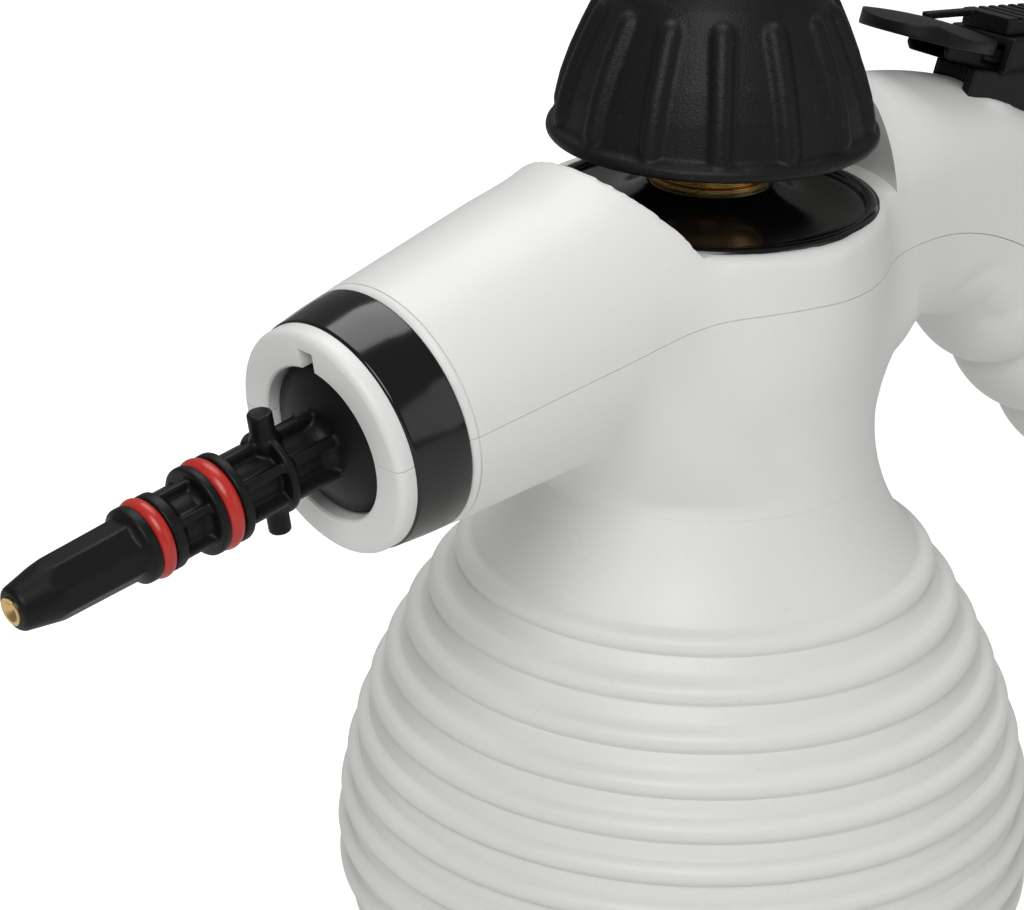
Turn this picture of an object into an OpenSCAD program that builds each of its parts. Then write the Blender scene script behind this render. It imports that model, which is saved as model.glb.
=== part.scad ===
// Hand-held pressurised steam cleaner: a beehive tank, a gun-shaped body in two
// shells, a bayonet nozzle, a safety cap, a thumb lever with a lock, and the
// boiler, steam valve and tubes inside.
//
// Frame: the tank's axis is Z, the sole stands on Z = 0, the nozzle points to
// -X and dips a little, and the grip runs back to +X and down.

/* [Tank cover] */
// Radius over the beads at the widest place
bulb_r = 67.1; // [64:0.1:70]
// Height of the widest place
belly_z = 29; // [26:0.5:32]
// Height of the top bead
top_bead_z = 88.8; // [86:0.1:90]
// Radius over the top bead
top_bead_r = 45.1; // [44:0.1:46]
// Height from one bead to the next
bead_pitch = 7.09; // [6.6:0.01:8]
// Section radius of a bead
bead_r = 2.1; // [1.8:0.1:2.4]
// How far a bead stands out of the band between beads
bead_rise = 1.7; // [1.2:0.1:2]
// Height of the cover's lower edge
cover_z = 6; // [5:0.5:7]
// Radius over the beads carried down to the lower edge
cover_foot_r = 55; // [53:0.5:58]
// Wall of the cover
cover_wall = 2.5; // [2:0.1:3]

/* [Neck and body] */
// Radius of the neck's waist
neck_r = 32.2; // [31:0.1:33]
// Height of the waist
waist_z = 117.5; // [115:0.5:119]
// Radius of the arc that flares above and below the waist
waist_arc = 40; // [36:1:44]
// Height of the joint between tank cover and body
crease_z = 108.4; // [106:0.1:110]
// How far the body above the neck stands out over the waist
body_step = 3.1; // [2.4:0.1:3.8]
// Height of the deck round the filler
deck_z = 157.9; // [156.5:0.1:159]
// Thickness of the deck
deck_t = 3.4; // [3:0.1:4]
// Rounding of the deck's outer edge
deck_round = 4.6; // [3.5:0.1:5]
// Wall of the two body shells
wall = 2.6; // [2.2:0.1:3]
// Radius of the upright cut that clears the cap
well_r = 33.5; // [32.8:0.1:34.2]

/* [Nose] */
// Downward tilt of the nose
nose_tilt = 10.64; // [8:0.1:12]
// Height at which the nose's axis meets the tank's axis
nose_z = 150.25; // [149:0.25:151.5]
// Distance along the nose to the band's rear edge
band_s = 77.2; // [74:0.1:80]
// Length of the band
band_len = 11; // [9:0.5:12]
// Radius of the band at its rear edge
band_r = 22; // [21.5:0.1:22.4]
// Radius lost along the band
band_taper = 1.1; // [0.6:0.1:1.6]
// Thickness of the band
band_t = 1.6; // [1.2:0.1:2]
// Slope of the nose's cone
nose_cone = 4.65; // [4:0.05:5.5]
// Length of the white ring in front of the band
lip_len = 3.4; // [2.6:0.1:4]
// Radius of the opening in the white ring
mouth_r = 13.9; // [13.6:0.1:14.4]
// Width of the key notch at the top of the opening
notch_w = 3.6; // [3:0.1:4.5]
// Depth of the key notch
notch_d = 3.6; // [3:0.1:4]

/* [Handle] */
// Centre of the handle's bend along X
bend_x = 31; // [29:0.5:33]
// Centre of the handle's bend along Z
bend_z = 61; // [60:0.5:62]
// Radius of the bend at the middle of the handle
bend_r = 87.5; // [86.5:0.5:88.5]
// Angle through which the handle bends
bend_a = 42; // [38:1:44]
// Half of the handle's width
grip_w = 16.5; // [15.5:0.1:17.5]
// Half of the handle's height at the bend
grip_h = 25; // [24:0.1:26]
// Length of the straight grip
grip_len = 50; // [44:1:56]
// Length of the rounded end of the grip
end_len = 12; // [9:0.5:15]
// Share of the section that is left at the grip's end
grip_taper = 0.86; // [0.8:0.01:0.95]
// Radius of the seam round the bend
seam_r = 85.5; // [84.5:0.5:86.5]
// Distance from one finger crease to the next
finger_pitch = 22; // [20:0.5:23]
// How far a finger lobe stands out between its creases
finger_rise = 2.6; // [2:0.1:3]
// Number of finger lobes
finger_count = 3; // [2:1:3]
// Fillet between the neck and the underside of the handle
web_r = 8; // [6:0.5:10]

/* [Filler and cap] */
// Radius of the brass neck
filler_r = 9.5; // [9.2:0.1:9.8]
// Radius of the flange on the brass neck
filler_flange_r = 10.9; // [10.6:0.1:11.4]
// Height of the brass neck's top
filler_z = 172; // [171:0.5:173]
// Radius of the threaded bore
filler_bore_r = 7.8; // [7.4:0.1:8]
// Radius of the black dish under the cap
dish_r = 30.5; // [29.5:0.1:30.6]
// Height of the cap's lip
cap_z = 170.8; // [170:0.2:172]
// Radius of the cap's lip
cap_r = 29.9; // [29:0.1:30.3]
// Height of the cap's crown above its lip
cap_h = 33; // [31:0.5:36]
// Radius of the cap over the ribs at its shoulder
cap_top_r = 20.9; // [19.5:0.1:22]
// Number of ribs round the cap
rib_count = 14; // [10:1:16]
// Width of a rib
rib_w = 4.6; // [3.6:0.1:5.2]
// How far a rib stands out
rib_rise = 1.5; // [1:0.1:1.8]
// Wall of the cap
cap_wall = 2.4; // [2:0.1:2.8]
// Radius of the plug's shank in the threaded bore
plug_r = 7.6; // [7:0.1:7.7]
// Length of the plug's shank
plug_len = 12; // [10:0.5:13]

/* [Trigger] */
// Angle round the bend at which the trigger sits
trigger_a = 20; // [18:0.5:22]
// Half of the lever's width at the paddle
lever_w = 11.6; // [10.5:0.1:12]
// Distance from the pivot to the lever's tip
lever_len = 38.3; // [37:0.1:40]
// Distance from the pivot forward to the valve plunger
plunger_arm = 9; // [8.5:0.1:9.2]
// Distance of the pivot behind the trigger's centre
pivot_x = 9; // [8.5:0.1:9.5]
// Height of the pivot over the handle
pivot_z = 4.5; // [4.3:0.1:4.8]
// Radius of the pivot pin
pin_r = 1.5; // [1.3:0.1:1.7]
// Half of the lock pad's width
pad_w = 5.7; // [5.2:0.1:6]
// Length of the lock pad
pad_len = 18; // [16:0.5:19]
// Height of the lock pad
pad_h = 3.4; // [3:0.1:4]
// Travel of the lock
lock_travel = 5; // [4:0.5:6]
// Distance from the trigger's centre to the end of its housing
mount_len = 41; // [38:0.5:42]

/* [Nozzle] */
// Distance along the nose to the nozzle's tip
tip_s = 154.4; // [152:0.1:157]
// Radius of the ribbed stem
stem_r = 6.7; // [6.3:0.1:7]
// Distance along the nose to the bayonet pegs
peg_s = 102.4; // [101:0.1:104]
// Radius of the upper bayonet peg
peg_r = 2.15; // [2.1:0.05:2.4]
// Radius of the lower bayonet peg, the thinner key of the two
peg_low_r = 1.95; // [1.7:0.05:2]
// Reach of a bayonet peg from the axis
peg_reach = 11.3; // [10.6:0.1:12]
// Number of ribs round the stem
stem_ribs = 6; // [4:1:8]
// Distance along the nose to the large O-ring
seal_a_s = 114.9; // [114.5:0.1:115.3]
// Outer radius of the large O-ring
seal_a_r = 8.1; // [7.9:0.1:8.4]
// Section radius of the large O-ring
seal_a_t = 1.75; // [1.5:0.05:1.9]
// Distance along the nose to the small O-ring
seal_b_s = 127.8; // [127.4:0.1:128.2]
// Outer radius of the small O-ring
seal_b_r = 7; // [6.8:0.1:7.2]
// Section radius of the small O-ring
seal_b_t = 1.5; // [1.3:0.05:1.6]
// Radius of the steam passage
steam_r = 1.8; // [1.4:0.1:2]

/* [Boiler] */
// Radius of the boiler pot
pot_r = 44; // [42:0.5:45]
// Height of the pot's underside
pot_z = 16; // [15:0.5:18]
// Height of the bolted flange
flange_z = 50; // [48:0.5:52]
// Radius of the bolted flange
flange_r = 51; // [49.5:0.5:52]
// Radius of the domed boiler lid
dome_r = 46; // [45:0.5:47]
// Distance of the steam outlet from the tank's axis
outlet_x = 20; // [19:0.5:21]
// Outer radius of the steam tubes
tube_r = 2.6; // [2.2:0.1:3]

/* [Sole] */
// Radius of the base plate
base_r = 53.6; // [52:0.1:55]
// Radius of the rubber sole
sole_r = 46; // [44:0.5:48]
// How far the rubber sole stands below the base plate
sole_t = 2; // [1.5:0.1:2.5]
// Radius of the cord inlet in the handle's end
inlet_r = 3.8; // [3:0.1:4.5]

/* [Hidden] */
$fn = 64;

WHITE = [0.92, 0.92, 0.89];
BLACK = [0.09, 0.09, 0.095];
GLOSS = [0.02, 0.02, 0.02];
RED = [0.80, 0.10, 0.08];
BRASS = [0.80, 0.62, 0.28];
METAL = [0.70, 0.71, 0.72];
STEEL = [0.60, 0.61, 0.63];
RUBBER = [0.14, 0.14, 0.15];

gap = 0.3;          // clear air between neighbours that move
run = 0.05;         // radial clearance of a pin in its bore
slip = 0.1;         // clearance of a sliding fit
far = 400;
eps = 0.01;

bead_count = floor((top_bead_z - cover_z - bead_pitch / 2) / bead_pitch) + 1;
arc_r = bend_r + grip_h;
body_r = neck_r + body_step;
root_x = 16;
root_s = 12;
plate_z = sole_t;
body_flare_z = waist_z
    + sqrt(pow(waist_arc, 2) - pow(waist_arc + neck_r - body_r, 2));
seam_z = bend_z + seam_r;
seam_join_x = -(nose_z - seam_z) / tan(nose_tilt);
lip_s = band_s + band_len;
mouth_s = lip_s + lip_len;
seat_s = mouth_s - 5.6;
seat_r = mouth_r + 2.3;
collar_z = deck_z + 3.3;
head_r = 8.5;
boss_r = 12.5;
collar_flare = 9;
crown_z = cap_z + cap_h;
plug_top = filler_z + 14;
relief_r = 4.2;
relief_z = filler_z - plug_len + 4;
slot_w = 6.1;
tray_x = -5;
tongue_x = 4.4;
tongue_w = 4.6;
tongue_len = 10;
finger_len = 11;
finger_w = 2.2;
land_r = 7;
ring_w = 2.9;
deck_a = 13;
deck_h = 10;
rim_a = 16;
valve_r = 8;
valve_top = -5.5;
valve_len = 24;
valve_x = pivot_x - plunger_arm;
plunger_r = 2.5;
plunger_top = 3.1;

// radius over the beads at height z
function bell(z) = z > belly_z
    ? bulb_r - (bulb_r - top_bead_r) * pow((z - belly_z) / (top_bead_z - belly_z), 2)
    : bulb_r - (bulb_r - cover_foot_r) * pow((belly_z - z) / (belly_z - cover_z), 2);
function bead_z(i) = top_bead_z - i * bead_pitch;
function flare_r(z, off) = neck_r + waist_arc
    - sqrt(pow(waist_arc + off, 2) - pow(z - waist_z, 2));
function nose_r(s) = band_r + 0.15 + (band_s - s) * tan(nose_cone);

// ---------- frames ----------
// local z runs out along the nose, local x points up
module on_nose() {
    translate([0, 0, nose_z]) rotate([0, -90 - nose_tilt, 0]) children();
}

// local x runs back along the handle, local z points out of it
module on_handle(a, r) {
    translate([bend_x + r * sin(a), 0, bend_z + r * cos(a)])
        rotate([0, a, 0]) children();
}

module on_trigger() {
    on_handle(trigger_a, arc_r) children();
}

// a flat outline in x and z, spread evenly to both sides of the middle plane
module side_plate(w) {
    rotate([90, 0, 0]) linear_extrude(height = w, center = true) children();
}

module ring(r, t) {
    rotate_extrude() translate([r, 0]) circle(r = t, $fn = 32);
}

module tube(r, bore, h) {
    difference() {
        cylinder(r = r, h = h);
        translate([0, 0, -1]) cylinder(r = bore, h = h + 2);
    }
}

// ---------- tank cover ----------
module band_line(off) {
    up = [for (i = [bead_count - 1:-1:0]) [bell(bead_z(i)) - bead_rise - off, bead_z(i)]];
    polygon(concat([[0, cover_z - (off > 0 ? 1 : 0)],
        [bell(cover_z) - bead_rise - off, cover_z - (off > 0 ? 1 : 0)]], up,
        [[flare_r(top_bead_z + 3, off), top_bead_z + 3], [0, top_bead_z + 3]]));
}

module neck_line(off, z0, z1) {
    difference() {
        translate([0, z0]) square([neck_r + waist_arc, z1 - z0]);
        translate([neck_r + waist_arc, waist_z]) circle(r = waist_arc + off, $fn = 128);
    }
}

module tank_cover() {
    spigot = neck_r - wall - gap;
    color(WHITE) rotate_extrude($fn = 128) {
        difference() {
            union() {
                band_line(0);
                neck_line(0, top_bead_z, crease_z);
                intersection() {
                    for (i = [0:bead_count - 1])
                        translate([bell(bead_z(i)) - bead_r, bead_z(i)])
                            circle(r = bead_r, $fn = 24);
                    translate([0, cover_z]) square([far, far]);
                }
            }
            band_line(cover_wall);
            neck_line(cover_wall, top_bead_z, crease_z + 1);
        }
        translate([spigot - 2, crease_z - 6]) square([2, 9]);
        translate([spigot - 2, crease_z - 6]) square([4.5, 3]);
    }
}

// ---------- sole ----------
module base_plate() {
    inner = bell(cover_z) - bead_rise - cover_wall - slip;
    color(BLACK) difference() {
        union() {
            translate([0, 0, plate_z]) cylinder(r1 = base_r - 1.5, r2 = base_r,
                h = 1.5, $fn = 128);
            translate([0, 0, plate_z + 1.5]) cylinder(r = base_r,
                h = cover_z - plate_z - 1.5, $fn = 128);
            translate([0, 0, cover_z]) tube(inner, inner - 2.5, 3, $fn = 128);
            for (a = [30:120:270]) rotate([0, 0, a]) translate([pot_r * 0.75, 0, cover_z])
                cylinder(r = 4.5, h = pot_z - cover_z);
        }
        translate([0, 0, -1]) cylinder(r = sole_r + slip, h = plate_z + 2.2, $fn = 128);
    }
}

module rubber_sole() {
    color(RUBBER) difference() {
        cylinder(r = sole_r, h = plate_z + 1.2, $fn = 128);
        for (r = [sole_r - 6, sole_r - 12]) translate([0, 0, -1])
            tube(r, r - 2, 1 + sole_t / 2, $fn = 128);
    }
}

// ---------- body shells ----------
module body_line() {
    z0 = body_flare_z;
    h = deck_z - z0;
    neck_line(0, crease_z, z0);
    translate([0, z0]) {
        square([body_r - deck_round, h]);
        square([body_r, h - deck_round]);
        translate([body_r - deck_round, h - deck_round]) circle(r = deck_round, $fn = 64);
    }
}

// straight cone of the nose, from inside the body to the band
module nose_cone_form(off) {
    stop = off > 0 ? seat_s - 8 : band_s;
    translate([0, 0, root_s]) cylinder(r1 = nose_r(root_s) - off, r2 = nose_r(stop) - off,
        h = stop - root_s, $fn = 128);
}

// stadium section of the handle, long side along local x
module grip_section(w, h) {
    square([2 * (h - w), 2 * w], center = true);
    for (k = [-1, 1]) translate([k * (h - w), 0]) circle(r = w, $fn = 48);
}

// outline of the handle's section, as points in local x and y
function grip_ring(w, h, n) = [for (i = [0:n - 1])
    let (a = 360 * (i + 0.5) / n)
    [(cos(a) > 0 ? 1 : -1) * (h - w) + w * cos(a), w * sin(a)]];

// share of the section at distance x down the grip, closing in at the end
function grip_share(x) = (1 - (1 - grip_taper) * max(x, 0) / grip_len)
    * (x > grip_len ? 0.45 + 0.55 * sqrt(max(0, 1 - pow((x - grip_len) / end_len, 2))) : 1);

// tapered grip with a rounded end, reaching back 1 into the bend
module grip_form() {
    n = 40;
    line = concat([-1, grip_len], [for (k = [0.35:0.2:0.96]) grip_len + k * end_len],
        [grip_len + end_len]);
    pts = [for (x = line) let (f = grip_share(x) * (1 - slip / grip_w))
        for (q = grip_ring(grip_w * f, grip_h * f, n)) [x, q[1], -q[0]]];
    m = len(line) - 1;
    faces = concat([[for (k = [0:n - 1]) k]], [[for (k = [n - 1:-1:0]) m * n + k]],
        [for (i = [0:m - 1]) for (k = [0:n - 1])
            [i * n + k, (i + 1) * n + k, (i + 1) * n + (k + 1) % n, i * n + (k + 1) % n]]);
    on_handle(bend_a, bend_r) polyhedron(pts, faces, convexity = 4);
}

// root and bend of the handle, less an even wall
module handle_bend(off) {
    translate([root_x, 0, bend_z + bend_r]) rotate([0, 90, 0])
        linear_extrude(height = bend_x - root_x) grip_section(grip_w - off, grip_h - off);
    translate([bend_x, 0, bend_z]) rotate([-90, 0, 0]) rotate([0, 0, -90])
        rotate_extrude(angle = bend_a, $fn = 128) translate([bend_r, 0])
            grip_section(grip_w - off, grip_h - off);
}

module handle_form() {
    handle_bend(0);
    grip_form();
}

// hollow of the handle; down the grip it keeps the size that fits the grip's end
module handle_hollow() {
    handle_bend(wall);
    on_handle(bend_a, bend_r) translate([-2, 0, 0]) rotate([0, 90, 0])
        linear_extrude(height = grip_len + end_len / 2 + 2)
            grip_section(grip_w * grip_taper - wall, grip_h * grip_taper - wall);
}

// convex lobes under the fingers, turned about the lower side of the grip
module finger_lobes() {
    sink = finger_rise + 0.4;
    top = grip_w - 0.4;
    notch = top - finger_rise;
    lobe_r = (pow(finger_pitch / 2, 2) + pow(finger_rise, 2)) / (2 * finger_rise);
    on_handle(bend_a, bend_r) translate([-finger_pitch * 0.85, 0, grip_w - grip_h - sink])
        rotate([0, 90, 0]) rotate_extrude($fn = 96)
            for (i = [0:finger_count - 1]) intersection() {
                translate([0, i * finger_pitch - 0.01]) square([top + 1, finger_pitch + 0.02]);
                translate([top - lobe_r, (i + 0.5) * finger_pitch])
                    circle(r = lobe_r, $fn = 128);
            }
}

// the corner between neck and handle, filled and then rounded out
module finger_web() {
    x = neck_r + web_r + 1;
    z = bend_z + bend_r - grip_h - web_r;
    difference() {
        translate([neck_r - 8, -grip_w + 4, z]) cube([x - neck_r + 8, 2 * grip_w - 8, web_r + 6]);
        translate([x, 0, z - 0.5]) rotate([90, 0, 0])
            cylinder(r = web_r, h = 3 * grip_w, center = true, $fn = 64);
    }
}

// the underside of the nose, blended down into the neck
module nose_root() {
    hull() {
        on_nose() translate([0, 0, 40]) cylinder(r = nose_r(40) - 0.8, h = 1, $fn = 32);
        translate([0, 0, waist_z - 8]) cylinder(r = neck_r + 0.4, h = 1, $fn = 32);
    }
}

module outer_form() {
    difference() {
        union() {
            rotate_extrude($fn = 128) body_line();
            on_nose() nose_cone_form(0);
            nose_root();
            handle_form();
            finger_lobes();
            finger_web();
        }
        translate([0, 0, deck_z]) cylinder(r = well_r, h = far, $fn = 128);
    }
    on_nose() difference() {
        rotate_extrude($fn = 128) polygon([[0, band_s - 1], [band_r - band_t, band_s - 1],
            [band_r - band_t, band_s], [band_r - band_t - band_taper, lip_s],
            [band_r - band_taper - 0.2, lip_s], [band_r - band_taper - 0.2, mouth_s - 1.2],
            [band_r - band_taper - 1.4, mouth_s], [0, mouth_s]]);
        translate([0, 0, mouth_s - 9]) cylinder(r = mouth_r, h = 20);
    }
}

// hollow of both shells; over the deck it stops short of the well by one wall
module inner_form() {
    deck_low = deck_z - deck_t;
    rotate_extrude($fn = 128) {
        neck_line(wall, crease_z - 5, body_flare_z);
        translate([0, body_flare_z - 1]) square([body_r - wall, deck_low - body_flare_z + 1]);
    }
    difference() {
        union() {
            on_nose() nose_cone_form(wall);
            handle_hollow();
        }
        translate([0, 0, deck_low]) cylinder(r = well_r + wall, h = far, $fn = 128);
    }
    on_nose() {
        translate([0, 0, seat_s - 9]) cylinder(r = seat_r, h = 9);
        translate([0, 0, seat_s - 1]) cylinder(r = mouth_r, h = 20);
        translate([mouth_r - 1, -notch_w / 2, seat_s - 1]) cube([notch_d + 1, notch_w, 20]);
    }
}

// everything on the upper side of the seam
module above_seam() {
    steps = 14;
    dir = [cos(bend_a), -sin(bend_a)];
    arc = [for (i = [0:steps]) let (a = bend_a * i / steps)
        [bend_x + seam_r * sin(a), bend_z + seam_r * cos(a)]];
    side_plate(far) polygon(concat(
        [[-far / 2, nose_z - far / 2 * tan(nose_tilt)], [seam_join_x, seam_z]], arc,
        [arc[steps] + dir * far / 2, [far, far], [-far / 2, far]]));
}

module upper_shell() {
    color(WHITE) difference() {
        intersection() {
            outer_form();
            above_seam();
        }
        inner_form();
        translate([0, 0, deck_z - 1.9]) cylinder(r = dish_r + slip, h = far, $fn = 128);
        translate([0, 0, deck_z - 8]) cylinder(r = filler_flange_r + 5, h = 20);
        on_trigger() translate([valve_x, 0, -8]) cylinder(r = plunger_r + 0.6, h = 20);
        on_handle(bend_a, bend_r) translate([grip_len, 0, 0]) rotate([0, 90, 0])
            cylinder(r = inlet_r + 3, h = 20);
    }
    color(WHITE) on_trigger() translate([valve_x, 0, valve_top - 3])
        tube(valve_r + 2, valve_r, -valve_top + 3 - wall + 0.6);
}

module lower_shell() {
    color(WHITE) difference() {
        outer_form();
        above_seam();
        inner_form();
        on_handle(bend_a, bend_r) translate([grip_len, 0, 0]) rotate([0, 90, 0])
            cylinder(r = inlet_r + 3, h = 20);
    }
}

module nose_band() {
    color(GLOSS) on_nose() rotate_extrude($fn = 128)
        polygon([[band_r - band_t, band_s], [band_r - 0.3, band_s],
            [band_r, band_s + 0.4], [band_r - band_taper, lip_s - 0.4],
            [band_r - band_taper - 0.3, lip_s], [band_r - band_t - band_taper, lip_s]]);
}

// ---------- nozzle ----------
module stem_pockets(s0, s1, core, rim) {
    difference() {
        translate([0, 0, s0]) tube(rim + 3, core, s1 - s0);
        for (k = [0:stem_ribs - 1]) rotate([0, 0, k * 360 / stem_ribs])
            translate([0, -1, s0 - 1]) cube([rim + 4, 2, s1 - s0 + 2]);
    }
}

module nozzle() {
    groove_a = seal_a_r - 2 * seal_a_t;
    groove_b = seal_b_r - 2 * seal_b_t;
    half_a = seal_a_t + 0.05;
    half_b = seal_b_t + 0.05;
    fl = 2;
    stem_end = seal_a_s - half_a;
    waist_0 = seal_a_s + half_a + fl;
    waist_1 = seal_b_s - half_b - fl;
    snout = seal_b_s + half_b + fl + 0.5;
    color(BLACK) on_nose() difference() {
        union() {
            translate([0, 0, seat_s - 20]) cylinder(r = tube_r + 1.2, h = 20);
            translate([0, 0, seat_s - 4]) cylinder(r = seat_r - slip, h = 4);
            intersection() {
                translate([0, 0, seat_s - 4]) cylinder(r = mouth_r - gap, h = 12);
                translate([0, 0, seat_s - 18]) sphere(r = 27, $fn = 96);
            }
            difference() {
                translate([0, 0, seat_s]) cylinder(r = stem_r, h = stem_end - seat_s);
                stem_pockets(seat_s + 10, peg_s - 2.6, stem_r - 2.3, stem_r);
                stem_pockets(peg_s + 2.6, stem_end - 2.4, stem_r - 2.3, stem_r);
            }
            difference() {
                translate([0, 0, peg_s - ring_w]) cylinder(r = stem_r + 0.7, h = 2 * ring_w);
                for (k = [-1, 1]) translate([k * (land_r + 5), 0, peg_s])
                    cube([10, 5, 2 * ring_w + 2], center = true);
            }
            translate([0, 0, peg_s]) rotate([0, 90, 0]) cylinder(r = peg_r, h = peg_reach);
            translate([0, 0, peg_s]) rotate([0, -90, 0]) cylinder(r = peg_low_r, h = peg_reach);
            translate([0, 0, stem_end - fl]) cylinder(r = seal_a_r - 0.6, h = fl);
            translate([0, 0, stem_end - eps]) cylinder(r = groove_a, h = 2 * half_a + 2 * eps);
            translate([0, 0, waist_0 - fl]) cylinder(r = seal_a_r - 0.5, h = fl);
            difference() {
                translate([0, 0, waist_0 - eps]) cylinder(r = seal_b_r - 1.5,
                    h = waist_1 - waist_0 + 2 * eps);
                stem_pockets(waist_0 + 0.8, waist_1 - 0.8, 3.6, seal_b_r);
            }
            translate([0, 0, waist_1]) cylinder(r = seal_b_r - 0.5, h = fl);
            translate([0, 0, waist_1 + fl - eps]) cylinder(r = groove_b, h = 2 * half_b + 2 * eps);
            translate([0, 0, snout - fl - 0.5]) cylinder(r = seal_b_r - 0.8, h = fl + 0.5);
            translate([0, 0, snout]) rotate([0, 0, 22.5]) cylinder(r1 = 5.5, r2 = 4.1,
                h = tip_s - snout - 2.4, $fn = 8);
            translate([0, 0, tip_s - 2.5]) cylinder(r1 = 3.9, r2 = 3.2, h = 2);
        }
        translate([0, 0, seat_s - 25]) cylinder(r = steam_r, h = tip_s);
        translate([0, 0, tip_s - 5]) cylinder(r = steam_r + 0.6, h = 20);
    }
}

module seal_large() {
    color(RED) on_nose() translate([0, 0, seal_a_s]) ring(seal_a_r - seal_a_t, seal_a_t);
}

module seal_small() {
    color(RED) on_nose() translate([0, 0, seal_b_s]) ring(seal_b_r - seal_b_t, seal_b_t);
}

module brass_tip() {
    color(BRASS) on_nose() difference() {
        translate([0, 0, tip_s - 5]) cylinder(r = steam_r + 0.6, h = 5);
        translate([0, 0, tip_s - 6]) cylinder(r = 0.6, h = 8);
        translate([0, 0, tip_s - 1]) cylinder(r1 = 0.6, r2 = 1.8, h = 1 + eps);
    }
}

// ---------- filler, dish and boiler ----------
module dish() {
    z0 = deck_z - 1.9;
    color(GLOSS) rotate_extrude($fn = 128) polygon([[filler_r + slip, z0], [dish_r, z0],
        [dish_r, deck_z - 0.2], [dish_r - 0.5, deck_z + 0.2], [dish_r - 2.5, deck_z + 0.2],
        [dish_r - 5, deck_z - 0.7], [filler_flange_r + collar_flare, deck_z - 0.7],
        [filler_flange_r + 5.4, collar_z - 1.6], [filler_flange_r + 3.6, collar_z - 0.2],
        [filler_flange_r + 2.8, collar_z], [filler_r + slip, collar_z]]);
}

module filler_neck() {
    z0 = flange_z + dome_r - 8;
    color(BRASS) difference() {
        union() {
            translate([0, 0, z0]) cylinder(r = filler_r, h = filler_z - z0);
            translate([0, 0, collar_z]) cylinder(r = filler_flange_r, h = 1);
            translate([0, 0, z0 + 10]) cylinder(r = filler_r + 3, h = 4, $fn = 6);
        }
        translate([0, 0, z0 - 1]) cylinder(r = filler_bore_r - 1.2, h = far);
        translate([0, 0, filler_z - plug_len - 3]) cylinder(r = filler_bore_r, h = far);
    }
}

module boiler_pot() {
    color(METAL) difference() {
        union() {
            translate([0, 0, pot_z]) cylinder(r = pot_r, h = flange_z - pot_z, $fn = 96);
            translate([0, 0, flange_z - 3.5]) cylinder(r = flange_r, h = 3.5, $fn = 96);
        }
        translate([0, 0, pot_z + 5]) cylinder(r = pot_r - 3, h = far, $fn = 96);
    }
}

module boiler_lid() {
    z0 = flange_z - 3;
    color(METAL) difference() {
        union() {
            intersection() {
                translate([0, 0, z0]) sphere(r = dome_r, $fn = 96);
                translate([0, 0, flange_z]) cylinder(r = far, h = far);
            }
            translate([0, 0, flange_z]) cylinder(r = flange_r, h = 3.5, $fn = 96);
            translate([0, 0, z0 + dome_r - 6]) cylinder(r = filler_r + 3.5, h = 11);
            translate([outlet_x, 0, z0 + dome_r - 10]) cylinder(r = tube_r + 2.6, h = 10);
        }
        translate([0, 0, z0]) sphere(r = dome_r - 3, $fn = 96);
        translate([0, 0, flange_z - 1]) cylinder(r = sqrt(pow(dome_r - 3, 2) - 9), h = 2);
        cylinder(r = filler_r, h = far);
        translate([outlet_x, 0, 0]) cylinder(r = tube_r - 1, h = far);
        translate([outlet_x, 0, z0 + dome_r - 4]) cylinder(r = tube_r, h = far);
    }
}

module heater() {
    t = 3.4;
    r = pot_r * 0.45;
    z = pot_z - t;
    color(STEEL) translate([0, 0, z]) {
        rotate([0, 0, 25]) rotate_extrude(angle = 310) translate([r, 0])
            circle(r = t, $fn = 32);
        for (k = [-1, 1]) rotate([0, 0, -25 * k]) translate([r, 0.5 * k, 0])
            rotate([90 * k, 0, 0]) translate([0, 0, -1]) cylinder(r = 2.2, h = 4.5, $fn = 32);
    }
}

module thermostat() {
    color(BLACK) translate([0, 0, cover_z + 3]) {
        translate([0, 0, pot_z - cover_z - 6]) cylinder(r = 8, h = 3);
        cylinder(r = 6.5, h = pot_z - cover_z - 6);
    }
}

// ---------- steam path ----------
// a point of the route with its corners rounded: u counts corners from 0
function on_route(p, u) =
    let (i = min(floor(u), len(p) - 3), t = u - i,
        a = i == 0 ? p[0] : (p[i] + p[i + 1]) / 2,
        b = i == len(p) - 3 ? p[len(p) - 1] : (p[i + 1] + p[i + 2]) / 2)
    a * pow(1 - t, 2) + p[i + 1] * 2 * t * (1 - t) + b * pow(t, 2);

// tube swept along a rounded route, with one straight ring at each end
module swept_tube(p, r) {
    sides = 10;
    steps = 9 * (len(p) - 2);
    last = len(p) - 1;
    mid = [for (i = [1:steps - 1]) on_route(p, i * (len(p) - 2) / steps)];
    line = concat([p[0]], mid, [p[last]]);
    n = len(line) - 1;
    dir = [for (i = [0:n])
        let (d = i == 0 ? p[1] - p[0] : i == n ? p[last] - p[last - 1]
            : line[i + 1] - line[i - 1]) d / norm(d)];
    pts = [for (i = [0:n])
        let (u = cross(dir[i], [0, 1, 0]), v = u / norm(u), w = cross(v, dir[i]))
        for (k = [0:sides - 1]) line[i] + r * (cos(360 * k / sides) * v
            + sin(360 * k / sides) * w)];
    faces = concat([[for (k = [sides - 1:-1:0]) k]],
        [[for (k = [0:sides - 1]) n * sides + k]],
        [for (i = [0:n - 1]) for (k = [0:sides - 1])
            [i * sides + k, i * sides + (k + 1) % sides,
                (i + 1) * sides + (k + 1) % sides, (i + 1) * sides + k]]);
    polyhedron(pts, faces, convexity = 6);
}

function on_trigger_at(x, z) =
    [bend_x + arc_r * sin(trigger_a) + x * cos(trigger_a) + z * sin(trigger_a), 0,
        bend_z + arc_r * cos(trigger_a) - x * sin(trigger_a) + z * cos(trigger_a)];
function on_nose_at(s) = [-s * cos(nose_tilt), 0, nose_z - s * sin(nose_tilt)];

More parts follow.
